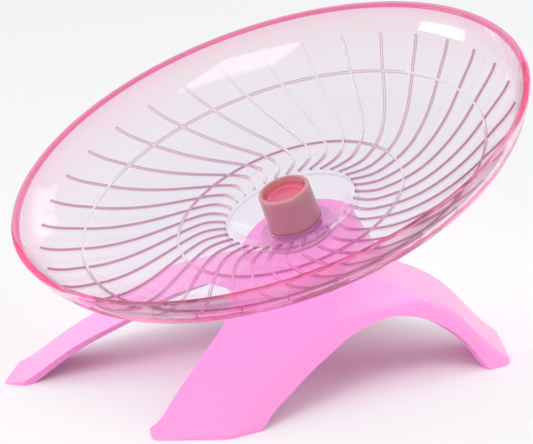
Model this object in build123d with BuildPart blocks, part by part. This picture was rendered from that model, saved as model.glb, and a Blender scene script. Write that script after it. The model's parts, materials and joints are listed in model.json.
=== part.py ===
from build123d import *
import math
import os

os.makedirs("parts", exist_ok=True)

# Flying saucer wheel: a clear running dish that spins on a leaning boss.
# Millimetres. The floor is z = 0, the dish leans towards -Y, and the stand is the same on +X and -X.
# The origin is on the floor, under the middle of the dish's rim.

# Lean and heights
dish_tilt = 24.3
boss_height = 42.0
rim_to_boss = 36.8

# Dish
rim_radius = 90.0
dish_wall = 2.3
running_depth = 26.4
floor_radius = 40.0
well_rim_radius = 21.5
well_floor_radius = 13.5
well_depth = 32.0
rim_edge_radius = 0.6
bowl_shares = ((0.645, 0.655), (0.897, 0.352), (1, 0))
bowl_slopes = (32.0, 47.0, 72.0)

# Ribs on the running face
rib_count = 34
rib_width = 0.8
rib_height = 0.7
rib_root = 0.5
ring_height = 0.6
rib_inner_radius = 22.8
rib_outer_radius = 82.7
inner_ring_radius = 39.6
outer_ring_radius = 70.7
rib_swirl_angle = 22.4
rib_phase = -0.46
rib_path_shares = ((0, 0), (0.053, -0.16), (0.13, -0.23), (0.22, -0.107), (0.362, 0.165),
                   (0.538, 0.491), (0.721, 0.754), (0.871, 0.911), (1, 1))

# Hub housing
housing_radius = 9.2
housing_top_radius = 8.9
housing_rise = 13.2
housing_flange_radius = 12.6
housing_edge_radius = 0.5
neck_radius = 5.7
flange_gap = 0.5
foot_groove_height = 1.0
foot_groove_depth = 0.5

# Cap
cap_radius = 7.6
cap_thickness = 1.4
cap_recess = 2.2
cap_skirt_length = 1.6
cap_skirt_wall = 0.8
cap_dimple_radius = 5.2
cap_dimple_depth = 0.5
cap_edge_radius = 0.4
cap_dimple_slope = 0.8

# Ball bearings, 5 x 13 x 4
bearing_radius = 6.5
bearing_width = 4.0
inner_race_radius = 3.65
outer_race_bore = 5.35
ball_radius = 1.0
ball_circle_radius = 4.5
ball_count = 8
cage_wall = 0.5
cage_height = 2.7
shield_thickness = 0.2
shield_inset = 0.2
shield_gap = 0.1

# Spindle and what is stacked on it
spindle_radius = 2.5
spindle_step = 0.2
spindle_head_radius = 4.5
spindle_head_height = 2.0
thrust_washer_radius = 3.6
thrust_washer_thickness = 1.6
inner_spacer_radius = 3.5
outer_spacer_wall = 0.9
spacer_height = 2.0
top_washer_radius = 3.5
top_washer_thickness = 0.6
screw_radius = 1.5
screw_length = 8.0
screw_head_radius = 2.8
screw_head_height = 1.6
screw_slot_width = 0.7
screw_slot_depth = 0.8
screw_head_edge = 0.5
screw_hole_spare = 0.5
spindle_edge = 0.4
circlip_thickness = 0.5
circlip_inner_radius = 5.9
circlip_groove_depth = 0.45
circlip_gap_angle = 50.0

# Stand
side_reach = 56.6
front_reach = 88.0
rear_reach = 84.0
side_turn = 88.3
front_leg_turn = 36.0
rear_leg_turn = 140.0
outline_height = 40.0
stand_wall = 2.6
crease_radius = 9.0
toe_radius = 3.0
heel_radius = 9.0
floor_overrun = 5.0

# Outlines of the stand's outer faces, as shares of their reach and of the outlines' height
side_shares = ((1.0, 0.0), (0.91, 0.25), (0.825, 0.5), (0.765, 0.62), (0.65, 0.695), (0.47, 0.77),
               (0.23, 0.845), (0.0, 0.88))
front_leg_shares = ((1.0, 0.0), (0.9, 0.0625), (0.85, 0.125), (0.806, 0.1875), (0.758, 0.25), (0.635, 0.375),
                    (0.5, 0.5), (0.36, 0.625), (0.19, 0.76), (0.0, 0.865), (-0.3, 1.0), (-0.5, 1.1))
rear_leg_shares = ((1.0, 0.0), (0.957, 0.0625), (0.92, 0.125), (0.858, 0.25), (0.8, 0.375), (0.735, 0.495),
                   (0.65, 0.605), (0.52, 0.71), (0.35, 0.795), (0.17, 0.85), (0.0, 0.88))
overrun_share = 0.09

# Corners of the feet on the floor, as shares of the side reach and of the front or rear reach
front_toe_shares = ((0.571, 0.88), (0.682, 0.926))
front_heel_shares = (0.943, 0.714)
rear_heel_shares = (1.042, 0.686)
rear_toe_shares = (0.565, 0.938)

# Arches between the legs
side_arch_front = 50.6
side_arch_rear = 48.6
side_arch_height = 22.5
side_arch_front_shares = ((0.88, 0.187), (0.74, 0.333), (0.63, 0.444), (0.47, 0.6), (0.318, 0.724),
                          (0.1, 0.893))
side_arch_rear_shares = ((0.03, 0.95), (0.295, 1.0), (0.5, 0.924), (0.615, 0.835), (0.722, 0.702), (0.88, 0.41),
                         (0.946, 0.2))
end_arch_half_width = 32.4
end_arch_height = 30.0
end_arch_shares = ((1.0, 0.0), (0.985, 0.083), (0.912, 0.25), (0.815, 0.417), (0.674, 0.583), (0.53, 0.75),
                   (0.3, 0.925))

# Boss
boss_radius = 19.8
boss_flare = 12.0
boss_plate = 3.0
boss_pocket_height = 2.2
boss_reach = 42.0
boss_pocket_clearance = 0.5
column_radius = 5.5
column_length = 18.0
web_count = 6
web_thickness = 1.8
web_height = 8.0
web_start_angle = 30.0

# Clearances
slide_fit = 0.02
race_fit = 0.04
seat_fit = 0.05
cut_overrun = 1.0

# Axis of spin. Depths are measured down it, from the rim plane.
tilt = math.radians(dish_tilt)
spin_direction = (0, -math.sin(tilt), math.cos(tilt))
rim_center = (0, 0, boss_height + rim_to_boss * math.cos(tilt))
spin_axis = Axis(rim_center, spin_direction)
rim_plane = Plane(origin=rim_center, x_dir=(1, 0, 0), z_dir=spin_direction)
section_plane = Plane(origin=rim_center, x_dir=(1, 0, 0), z_dir=(0, -math.cos(tilt), -math.sin(tilt)))

# Depths of the stack, from the boss up
thrust_washer_top = rim_to_boss - thrust_washer_thickness
lower_bearing_top = thrust_washer_top - bearing_width
spacer_top = lower_bearing_top - spacer_height
upper_bearing_top = spacer_top - bearing_width
top_washer_top = upper_bearing_top - top_washer_thickness
screw_head_top = top_washer_top - screw_head_height

# Section of the dish
rim_inner_radius = rim_radius - dish_wall / math.sin(math.radians(bowl_slopes[-1]))
hub_hole_radius = housing_radius + seat_fit
well_slope = math.atan2(well_depth - running_depth, well_rim_radius - well_floor_radius)
well_shift = dish_wall * math.tan(well_slope / 2)

# Depths of the housing and its cap
housing_top = well_depth - housing_rise
housing_bottom = rim_to_boss - flange_gap
well_underside = well_depth + dish_wall
cap_top = housing_top + cap_recess
cap_seat = cap_top + cap_thickness
column_bottom = rim_to_boss + column_length


def at_depth(depth):
    """Plane square to the spin axis, at a depth below the rim."""
    return rim_plane.offset(-depth)


def band(inner, outer, top, bottom, mode=Mode.ADD):
    """Rectangle in the section: from an inner to an outer radius and from a top to a bottom depth."""
    with Locations(((inner + outer) / 2, -(top + bottom) / 2)):
        Rectangle(outer - inner, bottom - top, mode=mode)


def section_outline(*points):
    """Filled outline in the section, from (radius, depth) points."""
    Polygon(*[(radius, -depth) for radius, depth in points], align=None)


def bowl_line(start_radius, sunk):
    """Draw the running face out to the rim, sunk by a depth square to itself. Gives its two ends."""
    side = rim_inner_radius - floor_radius
    start = (start_radius, -running_depth - sunk)
    wall = [(floor_radius, -running_depth - sunk)]
    headings = [(1, 0)]
    for (along, down), slope in zip(bowl_shares, bowl_slopes):
        across, up = math.cos(math.radians(slope)), math.sin(math.radians(slope))
        wall += [(floor_radius + side * along + sunk * up, -running_depth * down - sunk * across)]
        headings += [(across, up)]
    Line(start, wall[0])
    Spline(wall, tangents=headings)
    return start, wall[-1]


# Grip rib: one curved spoke, raised on the running face, drawn with the rim level at z = 0
with BuildPart() as rib:
    with BuildSketch():
        with BuildLine():
            path = []
            for along, around in rib_path_shares:
                radius = rib_inner_radius + (rib_outer_radius - rib_inner_radius) * along
                turn = math.radians(rib_swirl_angle * around)
                path += [(radius * math.cos(turn), radius * math.sin(turn))]
            Spline(path)
        trace(line_width=rib_width)
    extrude(amount=-well_depth)
    with BuildSketch(Plane.XZ):
        with BuildLine():
            root_start, root_end = bowl_line(well_rim_radius, rib_root)
            top_start, top_end = bowl_line(well_rim_radius, -rib_height)
            Line(root_start, top_start)
            Line(root_end, top_end)
        make_face()
    revolve(axis=Axis.Z, mode=Mode.INTERSECT)

# Dish: a clear moulded bowl with a shallow well round the hub, two grip rings and the ribs
ring_places = ((inner_ring_radius, running_depth), (outer_ring_radius, running_depth * bowl_shares[0][1]))
with BuildPart(rim_plane) as dish:
    with BuildSketch(section_plane):
        with BuildLine():
            inner_start, inner_end = bowl_line(well_rim_radius, 0)
            outer_start, outer_end = bowl_line(well_rim_radius + well_shift, dish_wall)
            Polyline(inner_start, (well_floor_radius, -well_depth), (hub_hole_radius, -well_depth),
                     (hub_hole_radius, -well_underside),
                     (well_floor_radius + well_shift, -well_underside), outer_start)
            Polyline(inner_end, (rim_radius, 0), outer_end)
        make_face()
        for radius, depth in ring_places:
            band(radius - rib_width / 2, radius + rib_width / 2, depth - ring_height, depth + rib_root)
    revolve(axis=spin_axis)
    fillet(dish.edges().group_by(spin_axis)[-1], rim_edge_radius)
    with PolarLocations(0, rib_count, start_angle=rib_phase):
        add(rib.part)

dish.part.label = "dish"
export_step(dish.part, "parts/dish.step")

# Hub housing: a tube with a flange under the dish, bored for two bearings from below
cap_bore = cap_radius + seat_fit
bearing_bore = bearing_radius + slide_fit
groove_radius = bearing_bore + circlip_groove_depth
circlip_bottom = thrust_washer_top + circlip_thickness
with BuildPart() as hub_housing:
    with BuildSketch(section_plane):
        section_outline((cap_bore, housing_top), (housing_top_radius, housing_top),
                        (housing_radius, well_depth - foot_groove_height),
                        (housing_radius - foot_groove_depth, well_depth - foot_groove_height),
                        (housing_radius - foot_groove_depth, well_depth), (housing_radius, well_depth),
                        (housing_radius, well_underside), (housing_flange_radius, well_underside),
                        (housing_flange_radius, housing_bottom), (bearing_bore, housing_bottom),
                        (bearing_bore, upper_bearing_top), (neck_radius, upper_bearing_top),
                        (neck_radius, cap_seat), (cap_bore, cap_seat))
        band(bearing_bore - cut_overrun, groove_radius, thrust_washer_top, circlip_bottom, Mode.SUBTRACT)
    revolve(axis=spin_axis)
    top_edge = hub_housing.edges().filter_by(GeomType.CIRCLE).group_by(spin_axis)[-1]
    fillet(top_edge.sort_by(SortBy.RADIUS)[-1], housing_edge_radius)
hub_housing.part.label = "hub_housing"
export_step(hub_housing.part, "parts/hub_housing.step")

# Cap: pressed into the top of the housing, with a shallow dimple
skirt_radius = neck_radius - seat_fit
skirt_bore = skirt_radius - cap_skirt_wall
skirt_bottom = cap_seat + cap_skirt_length
with BuildPart() as hub_cap:
    with BuildSketch(section_plane):
        section_outline((0, cap_top + cap_dimple_depth), (cap_dimple_radius, cap_top + cap_dimple_depth),
                        (cap_dimple_radius + cap_dimple_slope, cap_top), (cap_radius, cap_top),
                        (cap_radius, cap_seat), (skirt_radius, cap_seat), (skirt_radius, skirt_bottom),
                        (skirt_bore, skirt_bottom), (skirt_bore, cap_seat), (0, cap_seat))
    revolve(axis=spin_axis)
    outer_edge = hub_cap.edges().filter_by(GeomType.CIRCLE).sort_by(SortBy.RADIUS)[-2:]
    fillet(outer_edge.sort_by(spin_axis)[-1], cap_edge_radius)
hub_cap.part.label = "hub_cap"
export_step(hub_cap.part, "parts/hub_cap.step")

# Two ball bearings, one above the other
for place, bearing_top in (("lower", lower_bearing_top), ("upper", upper_bearing_top)):
    bearing_bottom = bearing_top + bearing_width
    middle = (bearing_top + bearing_bottom) / 2
    groove = ball_radius + race_fit

    with BuildPart() as inner_race:
        with BuildSketch(section_plane):
            band(spindle_radius + slide_fit, inner_race_radius, bearing_top, bearing_bottom)
            with Locations((ball_circle_radius, -middle)):
                Circle(groove, mode=Mode.SUBTRACT)
        revolve(axis=spin_axis)
    inner_race.part.label = place + "_inner_race"
    export_step(inner_race.part, "parts/" + place + "_inner_race.step")

    with BuildPart() as outer_race:
        with BuildSketch(section_plane):
            band(outer_race_bore, bearing_radius, bearing_top, bearing_bottom)
            with Locations((ball_circle_radius, -middle)):
                Circle(groove, mode=Mode.SUBTRACT)
        revolve(axis=spin_axis)
    outer_race.part.label = place + "_outer_race"
    export_step(outer_race.part, "parts/" + place + "_outer_race.step")

    with BuildPart(at_depth(middle)) as balls:
        with PolarLocations(ball_circle_radius, ball_count):
            Sphere(ball_radius)
    balls.part.label = place + "_balls"
    export_step(balls.part, "parts/" + place + "_balls.step")

    with BuildPart(at_depth(middle)) as ball_cage:
        with BuildSketch(section_plane):
            band(ball_circle_radius - cage_wall / 2, ball_circle_radius + cage_wall / 2,
                 middle - cage_height / 2, middle + cage_height / 2)
        revolve(axis=spin_axis)
        with PolarLocations(ball_circle_radius, ball_count):
            Cylinder(groove, 2 * ball_radius, rotation=(0, 90, 0), mode=Mode.SUBTRACT)
    ball_cage.part.label = place + "_ball_cage"
    export_step(ball_cage.part, "parts/" + place + "_ball_cage.step")

    with BuildPart() as shields:
        with BuildSketch(section_plane):
            for shield_top in (bearing_top + shield_inset, bearing_bottom - shield_inset - shield_thickness):
                shield_bottom = shield_top + shield_thickness
                band(inner_race_radius + shield_gap, outer_race_bore, shield_top, shield_bottom)
        revolve(axis=spin_axis)
    shields.part.label = place + "_shields"
    export_step(shields.part, "parts/" + place + "_shields.step")

# Spacers between the bearings: one round the spindle, one against the housing
with BuildPart() as inner_spacer:
    with BuildSketch(section_plane):
        band(spindle_radius + slide_fit, inner_spacer_radius, spacer_top, lower_bearing_top)
    revolve(axis=spin_axis)
inner_spacer.part.label = "inner_spacer"
export_step(inner_spacer.part, "parts/inner_spacer.step")

with BuildPart() as outer_spacer:
    with BuildSketch(section_plane):
        band(bearing_radius - outer_spacer_wall, bearing_radius, spacer_top, lower_bearing_top)
    revolve(axis=spin_axis)
outer_spacer.part.label = "outer_spacer"
export_step(outer_spacer.part, "parts/outer_spacer.step")

# Open ring that holds the lower bearing in the housing
with BuildPart() as circlip:
    with BuildSketch(section_plane):
        band(circlip_inner_radius, groove_radius - seat_fit, thrust_washer_top, circlip_bottom)
    revolve(axis=spin_axis, revolution_arc=360 - circlip_gap_angle)
circlip.part.label = "circlip"
export_step(circlip.part, "parts/circlip.step")

# Spindle: pushed up through the boss, headed below and tapped on top
spindle_top = upper_bearing_top + spindle_step
screw_bottom = top_washer_top + screw_length
screw_hole = screw_radius + slide_fit
spindle_bottom = column_bottom + spindle_head_height
with BuildPart() as spindle:
    with BuildSketch(section_plane):
        section_outline((0, screw_bottom + screw_hole_spare), (screw_hole, screw_bottom + screw_hole_spare),
                        (screw_hole, spindle_top), (spindle_radius, spindle_top),
                        (spindle_radius, column_bottom), (spindle_head_radius, column_bottom),
                        (spindle_head_radius, spindle_bottom), (0, spindle_bottom))
    revolve(axis=spin_axis)
    lowest_edges = spindle.edges().filter_by(GeomType.CIRCLE).sort_by(SortBy.RADIUS)[-2:]
    chamfer(lowest_edges.sort_by(spin_axis)[0], spindle_edge)
spindle.part.label = "spindle"
export_step(spindle.part, "parts/spindle.step")

with BuildPart() as thrust_washer:
    with BuildSketch(section_plane):
        band(spindle_radius + slide_fit, thrust_washer_radius, thrust_washer_top, rim_to_boss)
    revolve(axis=spin_axis)
thrust_washer.part.label = "thrust_washer"
export_step(thrust_washer.part, "parts/thrust_washer.step")

with BuildPart() as top_washer:
    with BuildSketch(section_plane):
        band(screw_hole, top_washer_radius, top_washer_top, upper_bearing_top)
    revolve(axis=spin_axis)
top_washer.part.label = "top_washer"
export_step(top_washer.part, "parts/top_washer.step")

# Screw in the spindle's end, with a crossed recess
with BuildPart() as spindle_screw:
    with BuildSketch(section_plane):
        section_outline((0, screw_head_top), (screw_head_radius, screw_head_top),
                        (screw_head_radius, top_washer_top), (screw_radius, top_washer_top),
                        (screw_radius, screw_bottom), (0, screw_bottom))
    revolve(axis=spin_axis)
    head_edges = spindle_screw.edges().filter_by(GeomType.CIRCLE).sort_by(SortBy.RADIUS)[-2:]
    fillet(head_edges.sort_by(spin_axis)[-1], screw_head_edge)
    with BuildSketch(at_depth(screw_head_top)):
        for turn in (0, 90):
            Rectangle(screw_head_radius, screw_slot_width, rotation=turn)
    extrude(amount=-screw_slot_depth, mode=Mode.SUBTRACT)
spindle_screw.part.label = "spindle_screw"
export_step(spindle_screw.part, "parts/spindle_screw.step")


# Stand: one moulded canopy on four legs, with a leaning boss on top
outer_faces = (
    (side_reach, side_shares, side_turn),
    (front_reach, front_leg_shares, front_leg_turn),
    (rear_reach, rear_leg_shares, rear_leg_turn),
)
block_size = 4 * front_reach


def drawn_in(points, inset):
    """Move each point of an outline in to its left, square to the line through its neighbours."""
    moved = []
    for before, here, after in zip(points[:1] + points, points, points[1:] + points[-1:]):
        run, rise = after[0] - before[0], after[1] - before[1]
        length = math.hypot(run, rise)
        moved += [(here[0] - inset * rise / length, here[1] + inset * run / length)]
    return moved


def face_outline(reach, shares, inset):
    """Lines up an outer face, from below the floor, and back behind it."""
    points = [(reach * (1 + overrun_share), -floor_overrun)]
    points += [(reach * out, outline_height * up) for out, up in shares]
    face = drawn_in(points, inset)
    Spline(face)
    Polyline(face[-1], (-block_size / 2, face[-1][1]), (-block_size / 2, face[0][1]), face[0])


def feet_outline(inset):
    """Outline round the four feet, seen from above, with rounded toes and heels."""
    front = [(side_reach * x, -front_reach * y) for x, y in (*front_toe_shares, front_heel_shares)]
    rear = [(side_reach * x, rear_reach * y) for x, y in (rear_heel_shares, rear_toe_shares)]
    right = front + rear
    with BuildSketch() as feet:
        Polygon(*right, *[(-x, y) for x, y in reversed(right)], align=None)
        fillet(vertices().filter_by(lambda corner: abs(corner.X) > front[-1][0] - toe_radius), heel_radius)
        fillet(vertices().group_by(Axis.Y)[0], toe_radius)
        if inset:
            offset(amount=-inset)
    return feet.sketch


def crease_edges(form):
    """Edges of a canopy that reach clear above the floor."""
    return form.edges().filter_by(lambda edge: edge.bounding_box().max.Z > floor_overrun)


def canopy(inset):
    """Solid form of the stand, drawn in by an inset, down to just below the floor."""
    with BuildPart() as form:
        Box(block_size, block_size, block_size)
        for side in (1, -1):
            for reach, shares, turn in outer_faces:
                across = side * math.sin(math.radians(turn))
                along = -math.cos(math.radians(turn))
                upright = Plane(origin=(0, 0, 0), x_dir=(across, along, 0), z_dir=(along, -across, 0))
                with BuildSketch(upright.offset(-block_size / 2)):
                    with BuildLine():
                        face_outline(reach, shares, inset)
                    make_face()
                extrude(amount=block_size, mode=Mode.INTERSECT)
        fillet(crease_edges(form), crease_radius - inset)
        with BuildSketch(Plane.XY.offset(-block_size / 2)):
            add(feet_outline(inset))
        extrude(amount=block_size, mode=Mode.INTERSECT)
    return form.part


canopy_hollow = canopy(stand_wall)

with BuildPart() as stand:
    add(canopy(0))
    # The boss stands on the roof and widens downwards
    boss_foot = rim_to_boss + boss_reach
    boss_foot_radius = boss_radius + boss_reach * math.tan(math.radians(boss_flare))
    with BuildSketch(section_plane):
        section_outline((0, rim_to_boss), (boss_radius, rim_to_boss),
                        (boss_foot_radius, boss_foot), (0, boss_foot))
    revolve(axis=spin_axis)
    # Level the roof where it would stand above the boss
    with BuildSketch(section_plane):
        band(0, boss_radius + boss_pocket_clearance, rim_to_boss - boss_pocket_height, rim_to_boss)
    revolve(axis=spin_axis, mode=Mode.SUBTRACT)
    # Hollow the canopy and the boss to one wall
    boss_roof = rim_to_boss + boss_plate
    add(canopy_hollow, mode=Mode.SUBTRACT)
    with BuildSketch(section_plane):
        section_outline((0, boss_roof), (boss_radius - stand_wall, boss_roof),
                        (boss_foot_radius - stand_wall, boss_foot), (0, boss_foot))
    revolve(axis=spin_axis, mode=Mode.SUBTRACT)
    # Cut the feet level with the floor
    split(bisect_by=Plane.XY, keep=Keep.TOP)
    # Arches through the long sides
    with BuildSketch(Plane.YZ):
        with BuildLine():
            arch = [(-side_arch_front, 0)]
            arch += [(-side_arch_front * a, side_arch_height * b) for a, b in side_arch_front_shares]
            arch += [(side_arch_rear * a, side_arch_height * b) for a, b in side_arch_rear_shares]
            arch += [(side_arch_rear, 0)]
            Spline(arch)
            Polyline(arch[-1], (side_arch_rear, -floor_overrun), (-side_arch_front, -floor_overrun), arch[0])
        make_face()
    extrude(amount=2 * side_reach, both=True, mode=Mode.SUBTRACT)
    # Arches through the two ends
    with BuildSketch(Plane.XZ):
        with BuildLine():
            half = [(end_arch_half_width * a, end_arch_height * b) for a, b in end_arch_shares]
            arch = half + [(0, end_arch_height)] + [(-x, z) for x, z in reversed(half)]
            Spline(arch)
            Polyline(arch[-1], (-end_arch_half_width, -floor_overrun),
                     (end_arch_half_width, -floor_overrun), arch[0])
        make_face()
    extrude(amount=2 * front_reach, both=True, mode=Mode.SUBTRACT)
    # Column that holds the spindle, and webs from it to the boss's wall
    with BuildSketch(section_plane):
        band(0, column_radius, rim_to_boss + boss_plate / 2, column_bottom)
    revolve(axis=spin_axis)
    with BuildSketch(at_depth(rim_to_boss + boss_plate / 2)):
        with PolarLocations(0, web_count, start_angle=web_start_angle):
            with Locations((column_radius / 2 + (boss_radius - stand_wall / 2) / 2, 0)):
                Rectangle(boss_radius - stand_wall / 2 - column_radius, web_thickness)
    extrude(amount=-web_height)
    # Bore for the spindle
    with BuildSketch(section_plane):
        band(0, spindle_radius + slide_fit, rim_to_boss - cut_overrun, column_bottom + cut_overrun)
    revolve(axis=spin_axis, mode=Mode.SUBTRACT)

stand.part.label = "stand"
export_step(stand.part, "parts/stand.step")
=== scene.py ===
# %% [markdown]
# # Flying saucer wheel
#
# A clear pink running dish spins on the leaning boss of a glossy pink stand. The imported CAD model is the
# fixed frame: it gives every place and size, and this script gives the looks. Everything is in metres, with
# the floor at z = 0 and the dish leaning towards -Y.

# %% Load the frame
import json
import math

import bmesh
import bpy
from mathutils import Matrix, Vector


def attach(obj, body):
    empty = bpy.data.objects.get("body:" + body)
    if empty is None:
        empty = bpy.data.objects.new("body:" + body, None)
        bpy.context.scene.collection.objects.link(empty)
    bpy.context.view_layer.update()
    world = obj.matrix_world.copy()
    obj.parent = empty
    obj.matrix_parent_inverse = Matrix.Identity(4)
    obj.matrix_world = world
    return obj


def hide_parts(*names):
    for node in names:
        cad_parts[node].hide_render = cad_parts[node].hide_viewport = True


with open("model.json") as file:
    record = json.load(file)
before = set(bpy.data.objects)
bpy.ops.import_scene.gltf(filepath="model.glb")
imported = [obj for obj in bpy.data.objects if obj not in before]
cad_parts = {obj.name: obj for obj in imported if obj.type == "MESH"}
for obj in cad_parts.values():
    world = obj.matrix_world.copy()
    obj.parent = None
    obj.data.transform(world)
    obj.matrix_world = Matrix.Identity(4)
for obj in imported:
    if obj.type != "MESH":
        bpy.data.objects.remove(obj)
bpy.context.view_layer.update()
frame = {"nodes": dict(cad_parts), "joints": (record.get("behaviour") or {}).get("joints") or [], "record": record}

MM = 0.001

# %% [markdown]
# The dish turns about one leaning axis, and the joint in the frame knows it. Every round piece is easiest
# to model upright, with the rim's plane at z = 0. It is then turned and moved onto this axis, and the turn
# is applied, so that its object stays at the origin like the CAD nodes.

# %% The leaning axis
spin_joint = next(joint for joint in frame["joints"] if joint["name"] == "dish_spin")
rim_center = Vector(spin_joint["pos_m"])
spin_direction = Vector(spin_joint["axis"]).normalized()
lean_angle = spin_direction.angle(Vector((0, 0, 1)))
print("lean in degrees:", round(math.degrees(lean_angle), 2))


def lean(piece):
    """Turns an upright piece onto the dish's axis and applies the turn."""
    leave_edit_mode()
    piece.rotation_euler = (lean_angle, 0, 0)
    piece.location = rim_center
    select_only(piece)
    bpy.ops.object.transform_apply(location=True, rotation=True, scale=True)


# %% [markdown]
# Operators act on whatever is selected, and loading the frame leaves its nodes selected. These short
# helpers clear the selection, pick one object, and pick edges or faces by their place.

# %% Selection helpers
def leave_edit_mode():
    """Goes back to object mode, if a piece is being edited."""
    if bpy.context.object and bpy.context.object.mode != "OBJECT":
        bpy.ops.object.mode_set(mode="OBJECT")


def select_only(piece):
    """Selects one object and makes it the active one."""
    leave_edit_mode()
    bpy.ops.object.select_all(action="DESELECT")
    piece.select_set(True)
    bpy.context.view_layer.objects.active = piece


def edit(piece, kind="VERT"):
    """Opens a piece in edit mode, with nothing selected."""
    select_only(piece)
    bpy.ops.object.mode_set(mode="EDIT")
    bpy.ops.mesh.select_mode(type=kind)
    bpy.ops.mesh.select_all(action="DESELECT")


def pick(piece, wanted, kind="edges"):
    """Selects the edges, faces or verts of an edited mesh for which wanted(element) is true."""
    mesh = bmesh.from_edit_mesh(piece.data)
    chosen = [element for element in getattr(mesh, kind) if wanted(element)]
    for element in chosen:
        element.select_set(True)
    mesh.select_flush_mode()
    bmesh.update_edit_mesh(piece.data)
    return len(chosen)


def finish_modifiers(piece):
    """Applies every modifier of a piece."""
    select_only(piece)
    for modifier in list(piece.modifiers):
        bpy.ops.object.modifier_apply(modifier=modifier.name)


def count(piece):
    """Prints a finished piece's size."""
    sides = [round(side / MM, 1) for side in piece.dimensions]
    print(piece.name, "faces:", len(piece.data.polygons), "mm:", sides)


# %% [markdown]
# ## Finishes
#
# Each finish is a small node tree. A helper starts one with the shader's own sockets, so that the numbers
# that are the same all over stay on the shader, and adds a fine bump from noise, because no moulded or
# ground surface is perfectly even.

# %% A finish with a fine bump
def finish_of(name, color, roughness, bump_size, bump_height, **sockets):
    """Makes a Principled finish whose surface carries a fine noise, and returns the material."""
    material = bpy.data.materials.new(name)
    material.use_nodes = True
    nodes, links = material.node_tree.nodes, material.node_tree.links
    shader = nodes["Principled BSDF"]
    shader.inputs["Base Color"].default_value = (*color, 1)
    shader.inputs["Roughness"].default_value = roughness
    for socket, value in sockets.items():
        shader.inputs[socket.replace("_", " ")].default_value = value
    place = nodes.new("ShaderNodeTexCoord")
    noise = nodes.new("ShaderNodeTexNoise")
    noise.inputs["Scale"].default_value = 1 / bump_size
    noise.inputs["Detail"].default_value = 3
    bump = nodes.new("ShaderNodeBump")
    bump.inputs["Strength"].default_value = 1
    bump.inputs["Distance"].default_value = bump_height
    links.new(place.outputs["Object"], noise.inputs["Vector"])
    links.new(noise.outputs["Fac"], bump.inputs["Height"])
    links.new(bump.outputs["Normal"], shader.inputs["Normal"])
    return material


def vary_color(material, color, other_color, patch_size):
    """Lets a finish's colour drift softly between two tones."""
    nodes, links = material.node_tree.nodes, material.node_tree.links
    place = next(node for node in nodes if node.type == "TEX_COORD")
    patches = nodes.new("ShaderNodeTexNoise")
    patches.inputs["Scale"].default_value = 1 / patch_size
    tones = nodes.new("ShaderNodeMix")
    tones.data_type = "RGBA"
    tones.inputs["A"].default_value = (*color, 1)
    tones.inputs["B"].default_value = (*other_color, 1)
    links.new(place.outputs["Object"], patches.inputs["Vector"])
    links.new(patches.outputs["Fac"], tones.inputs["Factor"])
    links.new(tones.outputs["Result"], nodes["Principled BSDF"].inputs["Base Color"])


# %% [markdown]
# Two finishes change with the height along the leaning axis. This helper measures it from the rim's plane,
# as a share of the way from one height to another.

# %% Height along the axis
def axis_share(material, low, high):
    """Adds nodes that give 0 at the low height along the dish's axis and 1 at the high one."""
    nodes, links = material.node_tree.nodes, material.node_tree.links
    place = next(node for node in nodes if node.type == "TEX_COORD")
    from_rim = nodes.new("ShaderNodeVectorMath")
    from_rim.operation = "SUBTRACT"
    from_rim.inputs[1].default_value = rim_center
    along_axis = nodes.new("ShaderNodeVectorMath")
    along_axis.operation = "DOT_PRODUCT"
    along_axis.inputs[1].default_value = spin_direction
    share = nodes.new("ShaderNodeMapRange")
    share.inputs["From Min"].default_value = low
    share.inputs["From Max"].default_value = high
    links.new(place.outputs["Object"], from_rim.inputs[0])
    links.new(from_rim.outputs["Vector"], along_axis.inputs[0])
    links.new(along_axis.outputs["Value"], share.inputs["Value"])
    return share.outputs["Result"]


# %% [markdown]
# The dish is clear plastic with a little pink dye. Such plastic bends light strongly, and with its true index
# the rim's outline turns grey instead of pink. So the body gets an index near one, which isn't physical, and a
# clear coat in front gives the gloss. In the photograph the dish is pinkest towards the rim. That deeper pink
# is painted light, standing for light that runs a long way through the slanting wall there: the tint follows
# the height along the leaning axis, and a light absorption adds the rest.

# %% Clear dish plastic
pale_lilac = (0.9, 0.88, 0.93)
body_index = 1.04
absorbed_tint = (1.0, 0.55, 0.78)
absorption_per_metre = 18.0
dish_plastic = finish_of("dish_plastic", pale_lilac, 0.02, 30 * MM, 0.05 * MM, Transmission_Weight=1.0,
                         IOR=body_index, Coat_Weight=0.8, Coat_Roughness=0.02)
dish_nodes, dish_links = dish_plastic.node_tree.nodes, dish_plastic.node_tree.links
absorption = dish_nodes.new("ShaderNodeVolumeAbsorption")
absorption.inputs["Color"].default_value = (*absorbed_tint, 1)
absorption.inputs["Density"].default_value = absorption_per_metre
dish_links.new(absorption.outputs["Volume"], dish_nodes["Material Output"].inputs["Volume"])
# The upper stops' deeper pink is painted light for the slanting wall near the rim, not more dye.
tint_depth = 27 * MM
tints_and_painted_light = ((0.0, (0.865, 0.845, 0.915)), (0.45, (0.91, 0.87, 0.925)), (0.8, (0.94, 0.79, 0.86)),
         (0.97, (0.95, 0.66, 0.78)))
tint = dish_nodes.new("ShaderNodeValToRGB")
for index, (stop, color) in enumerate(tints_and_painted_light):
    element = tint.color_ramp.elements[index] if index < 2 else tint.color_ramp.elements.new(stop)
    element.position = stop
    element.color = (*color, 1)
dish_links.new(axis_share(dish_plastic, -tint_depth, 0), tint.inputs["Fac"])
print("tints from floor to rim:", len(tint.color_ramp.elements))
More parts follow.
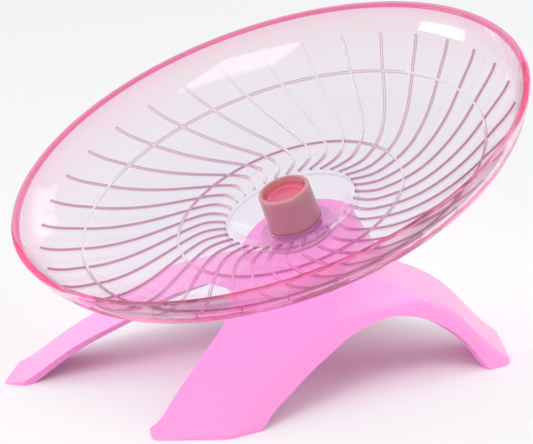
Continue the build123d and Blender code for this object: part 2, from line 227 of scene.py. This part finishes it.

# %% [markdown]
# In the photograph the ribs and the rim's inner edge are much darker than the wall. They are the same clear
# plastic, so these deeper colours are painted shade: two values painted on the faces, one for the ribs and one
# for the rim, mix them in.

# %% Painted shade on ribs and rim
# Colours of the painted shade on the ribs and on the rim's edge.
painted_shade_colors = {"rib_dye": (0.5, 0.2, 0.32), "rim_dye": (0.78, 0.05, 0.2)}
deep = tint.outputs["Color"]
for paint, color in painted_shade_colors.items():
    painted = dish_nodes.new("ShaderNodeAttribute")
    painted.attribute_name = paint
    deeper = dish_nodes.new("ShaderNodeMix")
    deeper.data_type = "RGBA"
    deeper.inputs["B"].default_value = (*color, 1)
    dish_links.new(deep, deeper.inputs["A"])
    dish_links.new(painted.outputs["Fac"], deeper.inputs["Factor"])
    deep = deeper.outputs["Result"]
dish_links.new(deep, dish_nodes["Principled BSDF"].inputs["Base Color"])

# %% [markdown]
# Light from the lamps has to reach the stand and the floor through the dish. The renderer doesn't follow
# lamp light through a clear body, so the shadow would be much too dark. Rays towards a lamp meet a tinted
# film instead.

# %% Light through the dish
film_tint = (0.93, 0.84, 0.9)
film = dish_nodes.new("ShaderNodeBsdfTransparent")
film.inputs["Color"].default_value = (*film_tint, 1)
light_path = dish_nodes.new("ShaderNodeLightPath")
passing = dish_nodes.new("ShaderNodeMixShader")
dish_links.new(light_path.outputs["Is Shadow Ray"], passing.inputs["Fac"])
dish_links.new(dish_nodes["Principled BSDF"].outputs["BSDF"], passing.inputs[1])
dish_links.new(film.outputs["BSDF"], passing.inputs[2])
dish_links.new(passing.outputs["Shader"], dish_nodes["Material Output"].inputs["Surface"])

# %% [markdown]
# The stand is opaque and glossy. Its dye is a cool bubblegum pink, a touch deeper in patches, and a thin
# clear coat gives it the wet shine of a polished mould.

# %% Stand plastic
stand_pink = (1.0, 0.34, 0.73)
deeper_pink = (1.0, 0.31, 0.70)
scatter_reach = (4 * MM, 2 * MM, 3 * MM)
stand_plastic = finish_of("stand_plastic", stand_pink, 0.28, 14 * MM, 0.03 * MM,
                          Coat_Weight=0.15, Coat_Roughness=0.08, Subsurface_Weight=0.15)
stand_shader = stand_plastic.node_tree.nodes["Principled BSDF"]
stand_shader.inputs["Subsurface Radius"].default_value = scatter_reach
vary_color(stand_plastic, stand_pink, deeper_pink, 40 * MM)

# %% [markdown]
# The hub's tube is a translucent pink that turns to the stand's pink in the flange below the dish, and the cap
# in its top is a deeper red. The tube's dusky, brownish tone is partly painted shade, standing for the dark
# inside of the hub seen through the plastic. Inside the hub are steel and nylon pieces that show only when the
# hub is taken apart. Each still has its own finish.

# %% Hub and inner finishes
housing_plastic = finish_of("housing_plastic", (0.72, 0.33, 0.40), 0.25, 6 * MM, 0.02 * MM,
                            Transmission_Weight=0.15, Subsurface_Weight=0.2)
flange_pink = (1.0, 0.36, 0.72)
# The tube's colour is pink plastic darkened by painted shade of the hub's dark inside.
tube_pink_and_shade = (0.66, 0.27, 0.33)
flange_height = -34 * MM
tube_height = -31 * MM
flange_colors = housing_plastic.node_tree.nodes.new("ShaderNodeMix")
flange_colors.data_type = "RGBA"
flange_colors.inputs["A"].default_value = (*flange_pink, 1)
flange_colors.inputs["B"].default_value = (*tube_pink_and_shade, 1)
housing_links = housing_plastic.node_tree.links
housing_links.new(axis_share(housing_plastic, flange_height, tube_height), flange_colors.inputs["Factor"])
housing_links.new(flange_colors.outputs["Result"],
                  housing_plastic.node_tree.nodes["Principled BSDF"].inputs["Base Color"])
cap_plastic = finish_of("cap_plastic", (0.72, 0.10, 0.20), 0.3, 4 * MM, 0.02 * MM, Coat_Weight=0.2)
steel = {"Metallic": 1.0}
finishes = {
    "dish_plastic": dish_plastic,
    "stand_plastic": stand_plastic,
    "housing_plastic": housing_plastic,
    "cap_plastic": cap_plastic,
    "spindle_steel": finish_of("spindle_steel", (0.56, 0.56, 0.58), 0.25, 0.3 * MM, 0.002 * MM, **steel),
    "washer_nylon": finish_of("washer_nylon", (0.85, 0.84, 0.78), 0.5, 1.0 * MM, 0.01 * MM),
    "washer_steel": finish_of("washer_steel", (0.6, 0.61, 0.64), 0.35, 0.6 * MM, 0.004 * MM, **steel),
    "screw_steel": finish_of("screw_steel", (0.7, 0.7, 0.72), 0.15, 0.8 * MM, 0.002 * MM, **steel),
    "spacer_steel": finish_of("spacer_steel", (0.5, 0.5, 0.52), 0.4, 0.2 * MM, 0.003 * MM, **steel),
    "clip_steel": finish_of("clip_steel", (0.06, 0.06, 0.07), 0.45, 0.4 * MM, 0.004 * MM, **steel),
    "race_steel": finish_of("race_steel", (0.6, 0.6, 0.62), 0.2, 0.3 * MM, 0.002 * MM, **steel),
    "ball_steel": finish_of("ball_steel", (0.75, 0.75, 0.77), 0.05, 0.5 * MM, 0.0005 * MM, **steel),
    "cage_nylon": finish_of("cage_nylon", (0.8, 0.76, 0.62), 0.45, 0.8 * MM, 0.006 * MM),
    "shield_steel": finish_of("shield_steel", (0.6, 0.6, 0.62), 0.3, 0.5 * MM, 0.003 * MM, **steel),
}
for part in frame["record"]["subparts"]:
    node = frame["nodes"][part["node"]]
    node.data.materials.clear()
    node.data.materials.append(finishes[part["material_slot"]])
print("finishes:", len(finishes))

# %% [markdown]
# ## The dish's section
#
# A half section is enough for a round dish. The running face is flat from the well out to a radius of 40
# mm, and then sweeps up to the rim. Three points and the slopes there say how, and a cubic curve joins
# them.

# %% Section of the running face
rim_radius = 90 * MM
dish_wall = 2.3 * MM
running_depth = 26.4 * MM
floor_radius = 40 * MM
well_rim_radius = 21.5 * MM
well_floor_radius = 13.5 * MM
well_depth = 32 * MM
hub_hole_radius = 9.25 * MM
well_slope = math.atan2(well_depth - running_depth, well_rim_radius - well_floor_radius)
well_shift = dish_wall * math.tan(well_slope / 2)
rim_slope = math.radians(72)
rim_inner_radius = rim_radius - dish_wall / math.sin(rim_slope)
wall_shares = ((0, 1), (0.645, 0.655), (0.897, 0.352), (1, 0))
wall_slopes = (0, math.radians(32), math.radians(47), rim_slope)


def cubic(start, end, start_way, end_way, share):
    """Point on the smooth curve from start to end that leaves and arrives along the given ways."""
    rest = 1 - share
    reach = (end - start).length
    return (start * (1 + 2 * share) * rest ** 2 + end * share ** 2 * (3 - 2 * share)
            + start_way * reach * share * rest ** 2 - end_way * reach * share ** 2 * rest)


def running_face(steps):
    """Points (radius, height) of the wall, from the floor's edge to the rim."""
    side = rim_inner_radius - floor_radius
    knots = [Vector((floor_radius + side * out, -running_depth * down)) for out, down in wall_shares]
    ways = [Vector((math.cos(slope), math.sin(slope))) for slope in wall_slopes]
    points = []
    for place in range(len(knots) - 1):
        here, there = knots[place], knots[place + 1]
        for step in range(1, steps[place] + 1):
            points.append(cubic(here, there, ways[place], ways[place + 1], step / steps[place]))
    return points


wall_steps = (22, 11, 9)
print("wall points:", len(running_face(wall_steps)))

# %% [markdown]
# The ribs don't run straight out. They leave the well a little backwards, bend round, and sweep on to the
# rim. Turning each ring of the mesh a little further than the last makes its columns follow that sweep, so
# the ribs can later be raised from whole columns.

# %% Sweep of the ribs
rib_count = 34
rib_phase = math.radians(-0.46)
rib_inner_radius = 22.8 * MM
rib_outer_radius = 82.7 * MM
rib_sweep = math.radians(22.4)
inner_ring_radius = 39.6 * MM
rib_path_shares = ((0, 0), (0.053, -0.16), (0.13, -0.23), (0.22, -0.107), (0.362, 0.165),
                   (0.538, 0.491), (0.721, 0.754), (0.871, 0.911), (1, 1))


def sweep_at(radius):
    """Angle by which the ribs have turned at a radius, from a smooth curve through the path's points."""
    share = (radius - rib_inner_radius) / (rib_outer_radius - rib_inner_radius)
    share = min(max(share, 0), 1)
    place = max(index for index, point in enumerate(rib_path_shares[:-1]) if point[0] <= share)
    knots = [Vector(point) for point in rib_path_shares]
    here, there = knots[place], knots[place + 1]
    before, after = knots[max(place - 1, 0)], knots[min(place + 2, len(knots) - 1)]
    rise = (there.y - before.y) / (there.x - before.x)
    next_rise = (after.y - here.y) / (after.x - here.x)
    gap = there.x - here.x
    way = (share - here.x) / gap
    rest = 1 - way
    turned = (here.y * (1 + 2 * way) * rest ** 2 + there.y * way ** 2 * (3 - 2 * way)
              + rise * gap * way * rest ** 2 - next_rise * gap * way ** 2 * rest)
    return rib_sweep * turned


# %% [markdown]
# ## The dish
#
# The mesh is drawn ring by ring, as by hand: a circle is extruded, moved, scaled to its radius and turned
# by its share of the sweep. Six columns lie between one rib and the next.

# %% Rings of the running face
columns_per_rib = 6
columns = rib_count * columns_per_rib
rings = [Vector((hub_hole_radius, -well_depth)), Vector((well_floor_radius, -well_depth)),
         Vector((well_rim_radius, -running_depth)), Vector((rib_inner_radius, -running_depth))]
floor_steps = 14
for step in range(1, floor_steps + 1):
    radius = rib_inner_radius + (inner_ring_radius - rib_inner_radius) * step / floor_steps
    rings.append(Vector((radius, -running_depth)))
rings.append(Vector((floor_radius, -running_depth)))
rings += running_face(wall_steps)

bpy.ops.object.select_all(action="DESELECT")
bpy.ops.mesh.primitive_circle_add(vertices=columns, radius=rings[0].x, location=(0, 0, 0))
dish = bpy.context.object
dish.name = "running_dish"
edit(dish)
bpy.ops.mesh.select_all(action="SELECT")
bpy.ops.transform.translate(value=(0, 0, rings[0].y))
for ring, following in zip(rings, rings[1:]):
    growth = following.x / ring.x
    turn = sweep_at(following.x) - sweep_at(ring.x)
    bpy.ops.mesh.extrude_edges_move(TRANSFORM_OT_translate={"value": (0, 0, following.y - ring.y)})
    bpy.ops.transform.resize(value=(growth, growth, 1), center_override=(0, 0, following.y))
    bpy.ops.transform.rotate(value=-turn, orient_axis="Z", center_override=(0, 0, 0))
leave_edit_mode()
print("rings:", len(rings), "columns:", columns)
count(dish)

# %% [markdown]
# The rings make a sheet without thickness. Its faces are first made to look up, into the bowl, and Solidify
# then gives it the wall on the other side. The wall's end at the rim comes out square to the wall, while
# the real rim is cut level, so the outer edge is scaled and lifted into place. The rim and the well get
# their moulded roundings by bevel.

# %% Wall, level rim and moulded roundings
edge_rounding = 0.6 * MM
edge_segments = 3
well_rounding = 1.6 * MM
well_segments = 4
well_spare = 1 * MM


def radius_of(vertex):
    """Distance of a vertex from the upright axis."""
    return math.hypot(vertex.co.x, vertex.co.y)


def is_circle(edge, radius, height, spare=0.05 * MM):
    """Whether an edge lies on a circle of this radius and height."""
    return all(abs(radius_of(vertex) - radius) < spare and abs(vertex.co.z - height) < spare
               for vertex in edge.verts)


edit(dish, "FACE")
bpy.ops.mesh.select_all(action="SELECT")
bpy.ops.transform.rotate(value=-rib_phase, orient_axis="Z", center_override=(0, 0, 0))
bpy.ops.mesh.normals_make_consistent(inside=False)
mesh = bmesh.from_edit_mesh(dish.data)
mesh.faces.ensure_lookup_table()
if mesh.faces[0].normal.z < 0:
    bpy.ops.mesh.flip_normals()
leave_edit_mode()
bpy.ops.object.modifier_add(type="SOLIDIFY")
dish.modifiers["Solidify"].thickness = dish_wall
dish.modifiers["Solidify"].offset = -1
dish.modifiers["Solidify"].use_even_offset = True
finish_modifiers(dish)

edit(dish, "EDGE")
wall_end_radius = rim_inner_radius + dish_wall * math.sin(rim_slope)
wall_end_height = -dish_wall * math.cos(rim_slope)
moved = pick(dish, lambda edge: is_circle(edge, wall_end_radius, wall_end_height))
growth = rim_radius / wall_end_radius
bpy.ops.transform.resize(value=(growth, growth, 1), center_override=(0, 0, 0))
bpy.ops.transform.translate(value=(0, 0, -wall_end_height))
bpy.ops.mesh.select_all(action="DESELECT")
rounded = pick(dish, lambda edge: is_circle(edge, rim_radius, 0) or is_circle(edge, rim_inner_radius, 0))
bpy.ops.mesh.bevel(offset=edge_rounding, segments=edge_segments, affect="EDGES")
bpy.ops.mesh.select_all(action="DESELECT")
softened = pick(dish, lambda edge: is_circle(edge, well_rim_radius, -running_depth, well_spare)
                or is_circle(edge, well_floor_radius, -well_depth, well_spare)
                or is_circle(edge, well_rim_radius + well_shift, -running_depth - dish_wall)
                or is_circle(edge, well_floor_radius + well_shift, -well_depth - dish_wall))
bpy.ops.mesh.bevel(offset=well_rounding, segments=well_segments, affect="EDGES")
leave_edit_mode()
print("edges moved, rounded and softened:", moved, rounded, softened)
count(dish)

# %% [markdown]
# The ribs and the two grip rings are one raised net. The columns of edges under them are selected, a bevel
# with one segment opens each into a strip as wide as a rib, and the strips are pushed up together, so that
# they meet cleanly where they cross.

# %% Net of ribs
rib_width = 0.8 * MM
rib_height = 0.7 * MM
# Share of the painted shade on the ribs' tops; their sides get all of it.
rib_top_shade = 0.1
rib_spare = 0.1 * MM
column_share = 0.05
outer_ring_radius = floor_radius + (rim_inner_radius - floor_radius) * wall_shares[1][0]
outer_ring_height = -running_depth * wall_shares[1][1]


def on_rib(vertex):
    """Whether a vertex of the running face lies on the line of a rib."""
    radius = radius_of(vertex)
    if not rib_inner_radius - rib_spare < radius < rib_outer_radius + rib_spare or vertex.normal.z < 0:
        return False
    angle = math.atan2(vertex.co.y, vertex.co.x) - sweep_at(radius) - rib_phase
    pitch = 2 * math.pi / rib_count
    return abs((angle / pitch + 0.5) % 1 - 0.5) < column_share


def under_net(edge):
    """Whether an edge lies under a rib or a grip ring."""
    along_rib = all(on_rib(vertex) for vertex in edge.verts)
    in_ring = (is_circle(edge, inner_ring_radius, -running_depth)
               or is_circle(edge, outer_ring_radius, outer_ring_height))
    return in_ring or along_rib and abs(radius_of(edge.verts[0]) - radius_of(edge.verts[1])) > 0.05 * MM


edit(dish, "EDGE")
print("edges under the net:", pick(dish, under_net))
bpy.ops.mesh.bevel(offset=rib_width / 2, offset_type="OFFSET", segments=1, affect="EDGES")
bpy.ops.mesh.select_mode(type="FACE")
bpy.ops.mesh.extrude_region_shrink_fatten(TRANSFORM_OT_shrink_fatten={"value": rib_height})
# The ribs' sides are painted full shade and their tops a little, as painted shade.
mesh = bmesh.from_edit_mesh(dish.data)
rib_dye = mesh.faces.layers.float.new("rib_dye")
for top in [face for face in mesh.faces if face.select]:
    top[rib_dye] = rib_top_shade
    for edge in top.edges:
        for beside in edge.link_faces:
            if not beside.select:
                beside[rib_dye] = 1
bmesh.update_edit_mesh(dish.data)
leave_edit_mode()

# %% [markdown]
# The deep crimson line along the rim is painted shade on its inner edge: the rounding and a hair's width of
# wall below it. The level top gets most of that colour, and the outer edge a quarter.

# %% Painted shade on the rim
rim_line = 0.9 * MM
rim_top_shade = 0.85
outer_edge_shade = 0.25
dish_crisp_angle = math.radians(35)
# The rim's faces get painted shade: full on the inner edge, most on the top, a quarter on the outer edge.
mesh = bmesh.new()
mesh.from_mesh(dish.data)
rim_dye = mesh.faces.layers.float.new("rim_dye")
for face in mesh.faces:
    middle = face.calc_center_median()
    if middle.z > -rim_line:
        out = math.hypot(middle.x, middle.y)
        if out < rim_inner_radius + edge_rounding:
            face[rim_dye] = 1
        elif out > rim_radius - edge_rounding:
            face[rim_dye] = outer_edge_shade
        else:
            face[rim_dye] = rim_top_shade
mesh.to_mesh(dish.data)
mesh.free()
lean(dish)
select_only(dish)
bpy.ops.object.shade_smooth_by_angle(angle=dish_crisp_angle)
dish.data.materials.append(dish_plastic)
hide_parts("dish")
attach(dish, "dish")
count(dish)

# %% [markdown]
# ## Stand and hub
#
# The stand's CAD form is right, but its mesh is loose triangles that catch the light as facets. A copy is
# merged into one skin, the loose triangles' stored normals are cleared, and it is shaded smooth. Only
# corners sharper than 30 degrees, where the arches are cut, stay crisp. The hub's tube and cap are dressed
# in the same way.

# %% Moulded copies of stand, hub tube and cap
merge_distance = 0.001 * MM
crisp_angle = math.radians(30)


def dress(node_name, name, body):
    """Replaces a CAD node by a merged, smoothly shaded copy with its finish."""
    piece = bpy.data.objects.new(name, frame["nodes"][node_name].data.copy())
    bpy.context.collection.objects.link(piece)
    select_only(piece)
    bpy.ops.mesh.customdata_custom_splitnormals_clear()
    edit(piece)
    bpy.ops.mesh.select_all(action="SELECT")
    bpy.ops.mesh.remove_doubles(threshold=merge_distance)
    leave_edit_mode()
    bpy.ops.object.shade_smooth_by_angle(angle=crisp_angle)
    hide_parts(node_name)
    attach(piece, body)
    count(piece)


dress("stand", "moulded_stand", "stand")
dress("hub_housing", "hub_tube", "dish")
dress("hub_cap", "hub_plug", "dish")

# %% [markdown]
# ## The stage
#
# The floor is plain and white, and so is the background for everything that looks past the object: the
# camera, reflections, and light that comes through the clear dish.

# %% Floor and background
floor_size = 6
floor_gap = 0.02 * MM
floor_white = (0.9, 0.9, 0.9)
floor_roughness = 0.9
surrounding_light = 0.8
bpy.ops.mesh.primitive_plane_add(size=floor_size, location=(0, 0, -floor_gap))
floor = bpy.context.object
floor.name = "studio_floor"
floor_paint = bpy.data.materials.new("floor_paint")
floor_paint.use_nodes = True
nodes, links = floor_paint.node_tree.nodes, floor_paint.node_tree.links
nodes["Principled BSDF"].inputs["Base Color"].default_value = (*floor_white, 1)
nodes["Principled BSDF"].inputs["Roughness"].default_value = floor_roughness
floor.data.materials.append(floor_paint)

world = bpy.data.worlds.new("studio")
bpy.context.scene.world = world
world.use_nodes = True
nodes, links = world.node_tree.nodes, world.node_tree.links
background = nodes["Background"]
background.inputs["Color"].default_value = (1, 1, 1, 1)
rays = nodes.new("ShaderNodeLightPath")
seen_or_mirrored = nodes.new("ShaderNodeMath")
seen_or_mirrored.operation = "MAXIMUM"
seen_through = nodes.new("ShaderNodeMath")
seen_through.operation = "MAXIMUM"
strength = nodes.new("ShaderNodeMapRange")
strength.inputs["To Min"].default_value = surrounding_light
strength.inputs["To Max"].default_value = 1.0
links.new(rays.outputs["Is Camera Ray"], seen_or_mirrored.inputs[0])
links.new(rays.outputs["Is Glossy Ray"], seen_or_mirrored.inputs[1])
links.new(seen_or_mirrored.outputs["Value"], seen_through.inputs[0])
links.new(rays.outputs["Is Transmission Ray"], seen_through.inputs[1])
links.new(seen_through.outputs["Value"], strength.inputs["Value"])
links.new(strength.outputs["Result"], background.inputs["Strength"])

# %% [markdown]
# Three large soft lamps light it as in a studio. Each has a name, a place, a width, a height and a power,
# and looks at the middle of the object.

# %% Lamps
lamps = (("key", (0.5, -0.9, 1.1), 0.9, 0.9, 6.5), ("window", (-0.95, -0.85, 0.16), 0.5, 0.32, 3.6),
         ("back", (-0.2, 1.2, 1.0), 0.8, 0.8, 2.5))
lamp_target = Vector((0, 0, 0.07))
for name, place, width, tall, power in lamps:
    lamp = bpy.data.lights.new(name, "AREA")
    lamp.shape = "RECTANGLE"
    lamp.size = width
    lamp.size_y = tall
    lamp.energy = power
    holder = bpy.data.objects.new(name, lamp)
    holder.location = place
    holder.rotation_euler = (lamp_target - Vector(place)).to_track_quat("-Z", "Y").to_euler()
    bpy.context.collection.objects.link(holder)
print("lamps:", len(lamps))

# %% [markdown]
# ## The camera
#
# The camera stands where a fit to the photograph's outlines puts it: in front and to the right, a little
# above, and far enough away for a long lens. Light is mirrored many times inside the clear wall. With the
# usual limit of four glossy bounces the wall's edges turn black, so the limits are higher.

# %% Camera
camera_place = Vector((0.62879, -0.56648, 0.26261))
camera_azimuth = math.radians(47.975)
camera_elevation = math.radians(14.2076)
sensor_width = 36
lens_length = 176.9
bounce_limit = 24
forward = Vector((-math.sin(camera_azimuth) * math.cos(camera_elevation),
                  math.cos(camera_azimuth) * math.cos(camera_elevation), -math.sin(camera_elevation)))
camera = bpy.data.objects.new("camera", bpy.data.cameras.new("camera"))
camera.data.sensor_width = sensor_width
camera.data.lens = lens_length
camera.data.clip_start = 10 * MM
camera.location = camera_place
camera.rotation_euler = forward.to_track_quat("-Z", "Y").to_euler()
bpy.context.collection.objects.link(camera)
bpy.context.scene.camera = camera
bpy.context.scene.view_settings.view_transform = "Standard"
bpy.context.scene.cycles.max_bounces = bounce_limit
bpy.context.scene.cycles.glossy_bounces = bounce_limit
bpy.context.scene.cycles.transmission_bounces = bounce_limit
